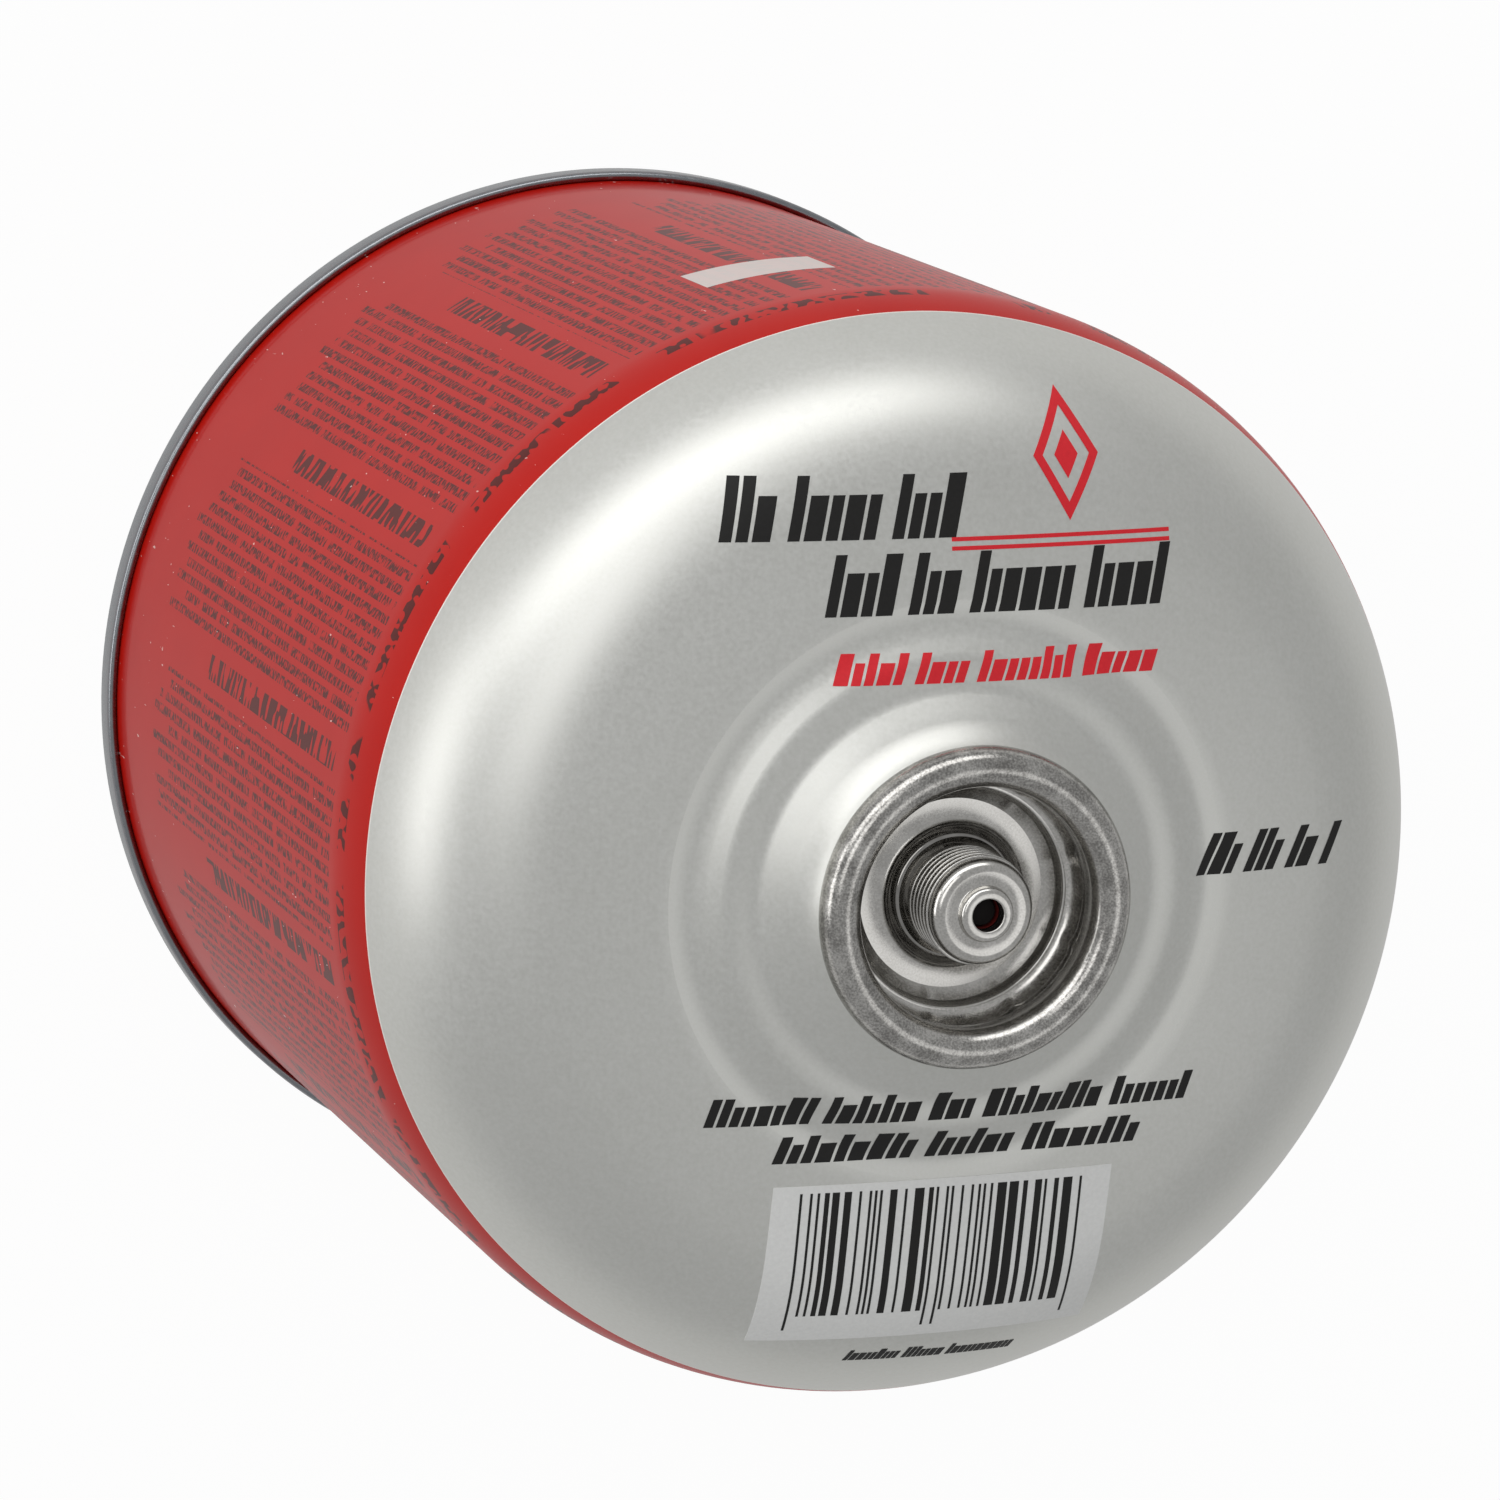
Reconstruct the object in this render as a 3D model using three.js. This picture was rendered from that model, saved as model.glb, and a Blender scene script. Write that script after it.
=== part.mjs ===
// Threaded gas canister: a drawn steel can with a domed top, a double-seamed bottom end
// and a self-sealing valve in a crimped mounting cup. Millimetres, +Z up, base on z = 0.
import * as THREE from "three";

// Can body
const bodyRadius = 57.0;
const drawTaper = 1.1;
const bodyBaseRadius = bodyRadius - drawTaper;
const shoulderHeight = 88.6;
const knuckleRadius = 21.0;
const sheetThickness = 0.4;
const bodySegments = 50;

// Embossed rings of the dome, each a radius and a rise over the dome there
const outerStepRadius = 27.4;
const outerStepWidth = 2.2;
const outerStepRise = 0.8;
const innerStepRadius = 20.9;
const innerStepWidth = 1.8;
const dishRise = 1.1;

// The widest line of the valve cup's rim over the shoulder, and the outer ring under it
const rimRise = 30.0;
const rimLevel = shoulderHeight + rimRise;
const domeDrop = 7.2;

// Valve mounting cup
const rimOuterRadius = 16.25;
const rimRollRadius = 2.05;
const cupWallRadius = 12.15;
const crimpRadius = 12.85;
const crimpDepth = 3.3;
const cupLedgeRadius = 11.0;
const cupLedgeDepth = 5.1;
const cupFloorRadius = 8.9;
const cupFloorDepth = 6.8;
const collarRadius = 6.1;
const collarDepth = 5.4;
const rimSkirtAngle = -35;
const crimpHalfHeight = 0.5;
const cupWallDepth = 1.6;
const ledgeRound = 0.35;
const collarFlare = 1.3;
const collarRound = 0.5;
const cupSegments = 36;

// Threaded pedestal in the middle of the cup: 7/16-28 UNEF
const threadRadius = 5.55;
const threadPitch = 0.907;
const threadDepth = 0.5;
const threadTurns = 6;
const threadTop = 1.2;
const endFaceRadius = 4.6;
const endFaceHeight = 2.6;
const lipRadius = 2.8;
const lipHeight = 3.6;
const boreRadius = 1.62;
const endPlateThickness = 0.5;
const shoulderRound = 0.9;
const lipRound = 0.6;
const roundStart = 20;

// Seals and valve
const curlClearance = 0.12;
const curlSkirt = 1.75;
const curlTuck = 1.4;
const bodyClearance = 0.25;
const gasketThickness = 0.24;
const runningGap = 0.12;
const seatGap = 0.03;
const springPlay = 0.05;
const stemGasketThickness = 1.3;
const stemRadius = 2.5;
const stemHeadThickness = 1.4;
const stemNoseRadius = 1.35;
const stemNoseHeight = 1.0;
const stemTailRadius = 1.2;
const stemTailLength = 5.0;
const housingClearance = 0.45;
const housingBore = 3.1;
const housingLength = 15.0;
const housingFloor = 1.6;
const inletRadius = 0.9;
const nippleRadius = 2.2;
const nippleLength = 3.0;
const pocketRelief = 1.0;
const springRadius = 2.2;
const springWireRadius = 0.3;
const springTurns = 6;
const valveSegments = 24;

// Bottom end with its double seam
const seamProjection = 1.2;
const seamRadius = bodyBaseRadius + seamProjection;
const seamHeight = 3.4;
const seamFold = seamProjection - runningGap;
const seamSlotDepth = 1.9;
const seamFlat = 1.0;
const seamCorner = 0.55;
const seamCountersink = 1.2;
const chuckWallHeight = 5.4;
const chuckWallRun = 0.5;
const beadRadius = 1.3;
const endPanelRise = 7.5;
const panelCorner = 1.4;
const panelDrop = 1.0;

const red = new THREE.Color("#c8161c");
const silver = new THREE.Color("#c6c6c2");
// The red print ends this far over the shoulder, in a hair's breadth
const paintBorderRise = 7.54;
const paintBorderBlur = 0.1;

const steel = (colour, roughness) =>
  new THREE.MeshStandardMaterial({ color: colour, roughness, metalness: 1 });
const plain = (colour, roughness) =>
  new THREE.MeshStandardMaterial({ color: colour, roughness, metalness: 0 });

const point = (r, z) => new THREE.Vector2(r, z);

// Points of an arc from one angle to another, in degrees from the outward radial direction
function arc(r, z, radius, from, to, steps) {
  const points = [];
  for (let i = 0; i <= steps; i++) {
    const angle = THREE.MathUtils.degToRad(from + ((to - from) * i) / steps);
    points.push(point(r + radius * Math.cos(angle), z + radius * Math.sin(angle)));
  }
  return points;
}

// A smooth step between two levels, without its end points
function softStep(r0, z0, r1, z1, steps) {
  const points = [];
  for (let i = 1; i < steps; i++) {
    const t = i / steps;
    const eased = t * t * (3 - 2 * t);
    points.push(point(r0 + (r1 - r0) * t, z0 + (z1 - z0) * eased));
  }
  return points;
}

function revolve(name, profile, segments, material) {
  const geometry = new THREE.LatheGeometry(profile, segments);
  geometry.rotateX(Math.PI / 2);
  const mesh = new THREE.Mesh(geometry, material);
  mesh.name = name;
  return mesh;
}

const closed = (profile) => [...profile, profile[0].clone()];

// The crown is the circle about the can's axis that touches the knuckle arc and passes
// through the foot of the outer ring.
const knuckleCentre = point(bodyRadius - knuckleRadius, shoulderHeight);
const crownFoot = point(outerStepRadius, rimLevel - domeDrop);

function crownCircle() {
  const k = knuckleCentre;
  const f = crownFoot;
  // |c - k| = R - knuckleRadius and |c - f| = R, for c on the axis: c = a + b R
  const span = 2 * (f.y - k.y);
  const a = (knuckleRadius ** 2 - k.x ** 2 - k.y ** 2 + f.x ** 2 + f.y ** 2) / span;
  const b = (-2 * knuckleRadius) / span;
  // (a + b R - f.y)^2 + f.x^2 = R^2
  const qa = b * b - 1;
  const qb = 2 * b * (a - f.y);
  const qc = (a - f.y) ** 2 + f.x ** 2;
  const radius = (-qb - Math.sqrt(qb * qb - 4 * qa * qc)) / (2 * qa);
  return { radius, height: a + b * radius };
}

// Centre of the rim's roll, shared by the cup, its gasket and the curl of the can
const rollCentre = point(rimOuterRadius - rimRollRadius, rimLevel);
const gasketOuter = rimRollRadius - sheetThickness - curlClearance;
const gasketInner = gasketOuter - gasketThickness;
const curlRadius = gasketInner - curlClearance;

const cupFloor = rimLevel - cupFloorDepth;
const endFace = rimLevel + endFaceHeight;
const endPlateUnderside = endFace - endPlateThickness;
const cavityRadius = threadRadius - threadDepth - sheetThickness;
const housingRadius = cavityRadius - housingClearance;

// Angle up the knuckle arc at a height over the shoulder
const knuckleAngle = (rise) => THREE.MathUtils.radToDeg(Math.asin(rise / knuckleRadius));

function domeProfile() {
  const crown = crownCircle();
  const touch = THREE.MathUtils.radToDeg(
    Math.atan2(knuckleCentre.y - crown.height, knuckleCentre.x),
  );
  const foot = THREE.MathUtils.radToDeg(
    Math.atan2(crownFoot.y - crown.height, crownFoot.x),
  );
  const ringTop = point(outerStepRadius - outerStepWidth, crownFoot.y + outerStepRise);
  const ringInner = point(innerStepRadius, ringTop.y + dishRise / 2);
  const neckFoot = point(innerStepRadius - innerStepWidth, ringInner.y + dishRise);
  const border = knuckleAngle(paintBorderRise);
  const silverFoot = knuckleAngle(paintBorderRise + paintBorderBlur);
  return [
    ...arc(knuckleCentre.x, knuckleCentre.y, knuckleRadius, 0, border, 2),
    ...arc(knuckleCentre.x, knuckleCentre.y, knuckleRadius, silverFoot, touch, 6),
    ...arc(0, crown.height, crown.radius, touch, foot, 3).slice(1),
    ...softStep(crownFoot.x, crownFoot.y, ringTop.x, ringTop.y, 3),
    ringTop,
    ringInner,
    ...softStep(ringInner.x, ringInner.y, neckFoot.x, neckFoot.y, 3),
    neckFoot,
  ];
}

// The can is sealed, so its wall and contents are one solid, with a pocket for the valve.
function canBody() {
  const seamInner = bodyBaseRadius - sheetThickness;
  const slotFloor = seamHeight - seamSlotDepth + runningGap;
  const crimpBack = crimpRadius + sheetThickness + bodyClearance;
  const ledgeBack = cupLedgeRadius + sheetThickness + bodyClearance;
  const cupBack = cupFloor - sheetThickness - bodyClearance;
  const pocketRadius = housingRadius + runningGap * 2;
  const pocketFloor = cupFloor - housingLength - nippleLength - pocketRelief;
  const profile = [
    ...bottomPanel(sheetThickness + bodyClearance),
    point(seamInner, chuckWallHeight - panelCorner + bodyClearance),
    point(seamInner, slotFloor),
    point(bodyBaseRadius, slotFloor),
    point(bodyBaseRadius, seamHeight + sheetThickness),
    ...domeProfile(),
    point(rollCentre.x + curlRadius, rollCentre.y - curlSkirt),
    ...arc(rollCentre.x, rollCentre.y, curlRadius, 0, 180, 7),
    point(rollCentre.x - curlRadius, rollCentre.y - curlTuck),
    point(crimpBack, rimLevel - crimpDepth + crimpHalfHeight),
    point(crimpBack, rimLevel - crimpDepth - crimpHalfHeight - sheetThickness / 2),
    point(ledgeBack, rimLevel - cupLedgeDepth - ledgeRound - bodyClearance),
    point(cupFloorRadius + ledgeRound + bodyClearance, cupBack),
    point(pocketRadius, cupBack),
    point(pocketRadius, pocketFloor),
    point(0, pocketFloor),
  ];
  const mesh = revolve("can_body", profile, bodySegments, steel("#ffffff", 0.35));
  paintBody(mesh);
  return mesh;
}

// Red print on the wall and the shoulder, silver lacquer above
function paintBody(mesh) {
  const place = mesh.geometry.getAttribute("position");
  const colours = new Float32Array(place.count * 3);
  for (let i = 0; i < place.count; i++) {
    const overBorder = place.getZ(i) - shoulderHeight - paintBorderRise;
    (overBorder < paintBorderBlur / 2 ? red : silver).toArray(colours, i * 3);
  }
  mesh.geometry.setAttribute("color", new THREE.BufferAttribute(colours, 3));
  mesh.material.vertexColors = true;
}

// Upper side of the domed end panel, from the axis to the chuck wall, raised by a distance
function bottomPanel(raise) {
  const chuckRadius = bodyBaseRadius - sheetThickness - chuckWallRun;
  const panelRadius = chuckRadius - beadRadius - panelCorner;
  // the slanting chuck wall moves in by less than the panel moves up
  const wallShare = 0.3;
  const points = [];
  const steps = 6;
  for (let i = 0; i <= steps; i++) {
    const t = i / steps;
    const rise = endPanelRise * (1 - t * t);
    points.push(point(panelRadius * t, chuckWallHeight + rise - sheetThickness + raise));
  }
  const wallFoot = chuckRadius - sheetThickness - raise * wallShare;
  points.push(point(wallFoot, chuckWallHeight + raise - panelDrop));
  return points;
}

function bottomEnd() {
  const slotOuter = bodyBaseRadius + runningGap;
  const slotInner = bodyBaseRadius - sheetThickness - runningGap;
  const slotFloor = seamHeight - seamSlotDepth;
  const chuckInner = slotInner - sheetThickness;
  const underside = bottomPanel(0);
  const upper = bottomPanel(sheetThickness).reverse();
  const profile = [
    ...underside,
    point(chuckInner, seamCountersink),
    point(seamRadius - seamCorner - seamFlat, 0),
    point(seamRadius - seamCorner, 0),
    ...arc(seamRadius - seamCorner, seamCorner, seamCorner, -90, 0, 3).slice(1),
    ...arc(seamRadius - seamFold / 2, seamHeight - seamFold / 2, seamFold / 2, 0, 180, 4),
    point(slotOuter, slotFloor),
    point(slotInner, slotFloor),
    point(slotInner, chuckWallHeight - panelCorner),
    ...upper,
  ];
  return revolve("bottom_end", profile, bodySegments, steel("#8d9092", 0.3));
}

// Rounded rings stand for the rolled thread's turns. The shares of a turn, down from its
// top, tell where a crest starts and ends, and then a root.
function threadProfile() {
  const crest = [0.15, 0.4];
  const root = [0.65, 0.9];
  const rootRadius = threadRadius - threadDepth;
  const points = [];
  for (let i = 0; i < threadTurns; i++) {
    const top = rimLevel + threadTop - i * threadPitch;
    points.push(...crest.map((share) => point(threadRadius, top - threadPitch * share)));
    points.push(...root.map((share) => point(rootRadius, top - threadPitch * share)));
  }
  return points;
}

function valveCup() {
  const inner = rimRollRadius - sheetThickness;
  const collarTop = rimLevel - collarDepth;
  const crimpTop = rimLevel - crimpDepth + crimpHalfHeight;
  const crimpFoot = rimLevel - crimpDepth - crimpHalfHeight;
  const ledge = rimLevel - cupLedgeDepth;
  const lipTop = rimLevel + lipHeight;
  const profile = [
    // Outer side of the roll, over its top and down inside the cup
    ...arc(rollCentre.x, rollCentre.y, rimRollRadius, rimSkirtAngle, 180, 11),
    point(cupWallRadius, rimLevel - cupWallDepth),
    point(crimpRadius, crimpTop),
    point(crimpRadius, crimpFoot),
    point(cupLedgeRadius + ledgeRound, ledge + ledgeRound),
    point(cupLedgeRadius, ledge),
    point(cupLedgeRadius - ledgeRound, cupFloor + ledgeRound),
    point(cupFloorRadius, cupFloor),
    point(collarRadius + collarFlare, cupFloor),
    point(collarRadius + collarRound, collarTop - collarRound / 2),
    point(collarRadius, collarTop),
    point(threadRadius - threadDepth, collarTop - collarRound / 2),
    ...threadProfile().reverse(),
    point(threadRadius, rimLevel + threadTop),
    ...arc(endFaceRadius, endFace - shoulderRound, shoulderRound, roundStart, 90, 3),
    point(lipRadius, endFace),
    ...arc(lipRadius - lipRound, lipTop - lipRound, lipRound, roundStart, 90, 3),
    point(boreRadius, lipTop),
    point(boreRadius, endPlateUnderside),
    point(cavityRadius, endPlateUnderside),
    point(cavityRadius, cupFloor - sheetThickness),
    // Back of the sheet, up to the inner side of the roll
    point(cupFloorRadius + ledgeRound, cupFloor - sheetThickness),
    point(cupLedgeRadius + sheetThickness, ledge - ledgeRound),
    point(crimpRadius + sheetThickness, crimpFoot),
    point(crimpRadius + sheetThickness, crimpTop),
    point(cupWallRadius + sheetThickness, rimLevel - cupWallDepth),
    ...arc(rollCentre.x, rollCentre.y, inner, 180, rimSkirtAngle, 7),
  ];
  return revolve("valve_cup", closed(profile), cupSegments, steel("#b4b3b0", 0.25));
}

function cupGasket() {
  const profile = [
    ...arc(rollCentre.x, rollCentre.y, gasketOuter, 10, 170, 6),
    ...arc(rollCentre.x, rollCentre.y, gasketInner, 170, 10, 7),
  ];
  return revolve("cup_gasket", closed(profile), cupSegments, plain("#2b2b2c", 0.8));
}

// The stem's seal lies under the pedestal's end plate, held there by the housing's edge.
const stemGasketTop = endPlateUnderside - seatGap;
const stemGasketUnderside = stemGasketTop - stemGasketThickness;
const housingTop = stemGasketUnderside - seatGap;
const housingBottom = housingTop - housingLength;
const springSeat = housingBottom + housingFloor + springPlay;
const stemHeadTop = housingTop;
const springTop = stemHeadTop - stemHeadThickness - springPlay;

function stemGasket() {
  const profile = [
    point(boreRadius, stemGasketUnderside),
    point(cavityRadius - runningGap, stemGasketUnderside),
    point(cavityRadius - runningGap, stemGasketTop),
    point(boreRadius, stemGasketTop),
  ];
  return revolve("stem_gasket", closed(profile), valveSegments, plain("#5a1512", 0.7));
}

function valveHousing() {
  const profile = [
    point(inletRadius, housingBottom - nippleLength),
    point(nippleRadius, housingBottom - nippleLength),
    point(nippleRadius, housingBottom),
    point(housingRadius, housingBottom),
    point(housingRadius, housingTop),
    point(housingBore, housingTop),
    point(housingBore, housingBottom + housingFloor),
    point(inletRadius, housingBottom + housingFloor),
  ];
  return revolve("valve_housing", closed(profile), valveSegments, plain("#e8e6df", 0.5));
}

function valveStem() {
  const noseTop = stemHeadTop + stemNoseHeight;
  const headBottom = stemHeadTop - stemHeadThickness;
  const profile = [
    point(0, headBottom - stemTailLength),
    point(stemTailRadius, headBottom - stemTailLength),
    point(stemTailRadius, headBottom),
    point(stemRadius, headBottom),
    point(stemRadius, stemHeadTop),
    point(stemNoseRadius, stemHeadTop),
    point(stemNoseRadius, noseTop),
    point(0, noseTop),
  ];
  return revolve("valve_stem", profile, valveSegments, plain("#33302e", 0.45));
}

// Compression spring between the housing's floor and the stem's head
function valveSpring() {
  class Helix extends THREE.Curve {
    getPoint(t, target = new THREE.Vector3()) {
      const low = springSeat + springWireRadius;
      const high = springTop - springWireRadius;
      const angle = t * springTurns * Math.PI * 2;
      return target.set(
        (springRadius - springWireRadius) * Math.cos(angle),
        (springRadius - springWireRadius) * Math.sin(angle),
        low + (high - low) * t,
      );
    }
  }
  const stepsPerTurn = 12;
  const wire = new THREE.Shape();
  wire.absarc(0, 0, springWireRadius, 0, Math.PI * 2);
  const geometry = new THREE.ExtrudeGeometry(wire, {
    steps: springTurns * stepsPerTurn,
    curveSegments: 3,
    extrudePath: new Helix(),
  });
  const mesh = new THREE.Mesh(geometry, steel("#a9aaac", 0.3));
  mesh.name = "valve_spring";
  return mesh;
}

const canister = new THREE.Group();
canister.name = "fuel_canister";
canister.add(
  canBody(),
  bottomEnd(),
  valveCup(),
  cupGasket(),
  stemGasket(),
  valveHousing(),
  valveSpring(),
  valveStem(),
);

export default canister;
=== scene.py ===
import math
import random

import bpy
from mathutils import Matrix, Vector


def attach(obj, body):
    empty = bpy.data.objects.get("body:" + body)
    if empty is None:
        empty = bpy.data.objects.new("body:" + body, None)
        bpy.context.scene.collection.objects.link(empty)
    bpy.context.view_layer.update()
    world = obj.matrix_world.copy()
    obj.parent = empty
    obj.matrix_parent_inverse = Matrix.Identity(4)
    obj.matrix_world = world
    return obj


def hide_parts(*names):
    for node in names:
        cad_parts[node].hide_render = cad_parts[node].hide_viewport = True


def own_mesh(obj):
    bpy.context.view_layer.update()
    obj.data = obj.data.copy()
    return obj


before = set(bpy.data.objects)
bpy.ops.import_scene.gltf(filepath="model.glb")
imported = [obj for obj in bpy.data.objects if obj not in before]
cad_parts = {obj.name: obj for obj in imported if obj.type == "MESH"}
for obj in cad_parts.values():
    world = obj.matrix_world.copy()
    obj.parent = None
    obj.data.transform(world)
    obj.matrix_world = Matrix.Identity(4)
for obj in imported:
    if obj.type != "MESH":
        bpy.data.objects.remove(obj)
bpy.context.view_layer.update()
mm = 0.001
print("frame loaded:", sorted(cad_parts))


# Mesh helpers. Profiles are lists of (radius, height) in millimetres.

def arcPoints(r, z, radius, start, end, steps):
    angles = [math.radians(start + (end - start) * i / steps) for i in range(steps + 1)]
    return [(r + radius * math.cos(a), z + radius * math.sin(a)) for a in angles]


def easedStep(r0, z0, r1, z1, steps):
    points = []
    for i in range(1, steps):
        t = i / steps
        points.append((r0 + (r1 - r0) * t, z0 + (z1 - z0) * t * t * (3 - 2 * t)))
    return points


def rounded(points, reach, times=3):
    # cuts each corner of a profile back, by the reach at most, again and again
    held = [points[0]]
    for (r0, z0), (r1, z1) in zip(points, points[1:]):
        length = math.hypot(r1 - r0, z1 - z0)
        if length > 2 * reach:
            for t in (reach / length, 1 - reach / length):
                held.append((r0 + (r1 - r0) * t, z0 + (z1 - z0) * t))
        held.append((r1, z1))
    points = held
    for _ in range(times):
        cut = [points[0]]
        for (r0, z0), (r1, z1) in zip(points, points[1:]):
            cut.append((r0 * 0.75 + r1 * 0.25, z0 * 0.75 + z1 * 0.25))
            cut.append((r0 * 0.25 + r1 * 0.75, z0 * 0.25 + z1 * 0.75))
        points = cut + [points[-1]]
    return points


def meshObject(name, verts, faces):
    data = bpy.data.meshes.new(name)
    data.from_pydata([Vector(v) * mm for v in verts], [], faces)
    data.validate()
    obj = bpy.data.objects.new(name, data)
    bpy.context.scene.collection.objects.link(obj)
    return obj


def smooth(obj, angle=35):
    obj.data.shade_smooth()
    obj.data.set_sharp_from_angle(angle=math.radians(angle))


def lathe(name, profile, segments, wobble=None):
    # a profile that doesn't start and end on the axis is joined into a ring
    onAxis = [abs(r) < 1e-6 for r, z in profile]
    ring = not (onAxis[0] and onAxis[-1])
    verts, rows = [], []
    for (r, z), pole in zip(profile, onAxis):
        rows.append(len(verts))
        for i in range(1 if pole else segments):
            a = 2 * math.pi * i / segments
            rr = r if wobble is None or pole else r + wobble(r, z, a)
            verts.append((rr * math.cos(a), rr * math.sin(a), z))
    faces = []
    count = len(profile)
    for k in range(count if ring else count - 1):
        n = (k + 1) % count
        for i in range(segments):
            j = (i + 1) % segments
            low = [rows[k]] if onAxis[k] else [rows[k] + i, rows[k] + j]
            high = [rows[n]] if onAxis[n] else [rows[n] + j, rows[n] + i]
            if len(low) + len(high) > 2:
                faces.append(low + high)
    return meshObject(name, verts, faces)


# Material helpers

def linear(hexColour, alpha=1.0):
    parts = [int(hexColour[i:i + 2], 16) / 255 for i in (1, 3, 5)]
    return [c / 12.92 if c <= 0.04045 else ((c + 0.055) / 1.055) ** 2.4 for c in parts] + [alpha]


def setInput(tree, node, key, value):
    # value is a plain value, another node's socket, or a node, which gives its first output
    if isinstance(value, bpy.types.Node):
        value = value.outputs[0]
    if isinstance(value, bpy.types.NodeSocket):
        tree.links.new(value, node.inputs[key])
    else:
        node.inputs[key].default_value = value


def addNode(tree, kind, inputs=(), **settings):
    # inputs are listed in order, or given by name or number
    node = tree.nodes.new(kind if "Node" in kind else "ShaderNode" + kind)
    for key, value in settings.items():
        setattr(node, key, value)
    pairs = inputs.items() if isinstance(inputs, dict) else enumerate(inputs)
    for key, value in pairs:
        setInput(tree, node, key, value)
    return node


def newMaterial(name):
    material = bpy.data.materials.new(name)
    material.use_nodes = True
    tree = material.node_tree
    tree.nodes.clear()
    shader = addNode(tree, "BsdfPrincipled")
    addNode(tree, "OutputMaterial", [shader])
    place = addNode(tree, "TexCoord")
    return material, tree, shader, place.outputs["Object"]


def setShader(tree, shader, **values):
    for key, value in values.items():
        setInput(tree, shader, key.replace("_", " "), value)


def grain(tree, place, size, detail=3.0, stretch=(1, 1, 1)):
    # noise whose one grain is size millimetres wide
    scaled = addNode(tree, "Mapping", {"Vector": place, "Scale": stretch})
    return addNode(
        tree, "TexNoise",
        {"Vector": scaled, "Scale": 1 / (size * mm), "Detail": detail},
    )


def grained(name, low, high, size, roughness, depth, detail=3.0, stretch=(1, 1, 1), **values):
    # two close tones, their gloss and a fine relief in millimetres, all from one grain
    material, tree, shader, place = newMaterial(name)
    noise = grain(tree, place, size, detail, stretch)
    mix = addNode(tree, "Mix", {0: noise, 6: linear(low), 7: linear(high)}, data_type="RGBA")
    setShader(
        tree, shader, Base_Color=mix.outputs[2],
        Roughness=addNode(tree, "MapRange", [noise, 0.3, 0.7, *roughness]),
        Normal=addNode(tree, "Bump", {"Height": noise, "Distance": depth * mm, "Strength": 1.0}),
        **values,
    )
    return material


# Can body: deep-drawn tinplate cup, printed red outside and lacquered silver on the dome

body = {
    "radius": 57.0,
    "baseRadius": 55.9,
    "shoulder": 88.6,
    "knuckle": 21.0,
    "borderRadius": 55.6,
    "crownFoot": (27.4, 7.2),  # radius, and how far it lies below the rim, as in the list of rings
    "crownEnd": 29.3,
    "rings": [
        (28.2, 7.5), (27.2, 7.4), (26.0, 7.0), (24.0, 6.05), (23.0, 5.85),
        (21.4, 5.7), (20.6, 5.5), (18.6, 4.35), (17.5, 3.75), (16.2, 2.7),
    ],
    "rimLevel": 118.6,
    "sheet": 0.4,
    "seamHeight": 3.4,
    "segments": 256,
}
rimLevel = body["rimLevel"]
roll = {"radius": 2.05, "outer": 16.25}
rollCentre = roll["outer"] - roll["radius"]
curlRadius = 1.17


def crownCircle():
    # circle about the axis that touches the knuckle arc and passes the outer ring's foot
    kr, kz, k = body["radius"] - body["knuckle"], body["shoulder"], body["knuckle"]
    fr, fz = body["crownFoot"][0], rimLevel - body["crownFoot"][1]
    span = 2 * (fz - kz)
    a = (k * k - kr * kr - kz * kz + fr * fr + fz * fz) / span
    b = -2 * k / span
    qa, qb, qc = b * b - 1, 2 * b * (a - fz), (a - fz) ** 2 + fr * fr
    radius = (-qb - math.sqrt(qb * qb - 4 * qa * qc)) / (2 * qa)
    return radius, a + b * radius


crownRadius, crownHeight = crownCircle()
knuckleR = body["radius"] - body["knuckle"]
touchAngle = math.degrees(math.atan2(body["shoulder"] - crownHeight, knuckleR))
borderAngle = math.degrees(math.acos((body["borderRadius"] - knuckleR) / body["knuckle"]))
borderHeight = body["shoulder"] + body["knuckle"] * math.sin(math.radians(borderAngle))


def domeProfile():
    knuckle = (knuckleR, body["shoulder"], body["knuckle"])
    outer = math.degrees(math.acos(body["crownEnd"] / crownRadius))
    crown = arcPoints(0, crownHeight, crownRadius, touchAngle, outer, 8)
    pressed = [crown[-1]] + [(r, rimLevel - drop) for r, drop in body["rings"]]
    pressed.append((rollCentre + curlRadius, rimLevel - 1.75))
    return (
        arcPoints(*knuckle, 0, borderAngle, 8)
        + arcPoints(*knuckle, borderAngle, touchAngle, 22)[1:]
        + crown[1:-1]
        + rounded(pressed, 0.9, 4)
    )


dome = domeProfile()


def domeHeight(r):
    # height of the dome over a radius, between the profile's points
    for (r0, z0), (r1, z1) in zip(dome, dome[1:]):
        if r1 <= r <= r0:
            return z0 + (z1 - z0) * (r0 - r) / max(r0 - r1, 1e-6)
    return dome[-1][1]


def makeBody():
    base, sheet = body["baseRadius"], body["sheet"]
    bottom = body["seamHeight"] - 1.78
    profile = (
        [(0, 13.0), (30, 10.6), (51, 6.3), (base - sheet, 4.4), (base - sheet, bottom), (base, bottom)]
        + [(base, 4.5)]
        + dome
        + arcPoints(rollCentre, rimLevel, curlRadius, 0, 180, 12)
        + [(rollCentre - curlRadius, rimLevel - 1.4), (13.5, rimLevel - 2.8), (13.5, rimLevel - 4.0)]
        + [(11.6, rimLevel - 5.9), (9.5, rimLevel - 7.5), (4.5, rimLevel - 7.5)]
        + [(4.5, rimLevel - 26.8), (0, rimLevel - 26.8)]
    )
    obj = lathe("canShell", profile, body["segments"])
    smooth(obj, 32)
    obj.data.materials.append(redPrint())
    obj.data.materials.append(silverLacquer())
    for face in obj.data.polygons:
        centre = face.center
        onDome = centre.z > borderHeight * mm
        face.material_index = 1 if onDome else 0
    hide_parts("can_body")
    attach(obj, "can")


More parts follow.
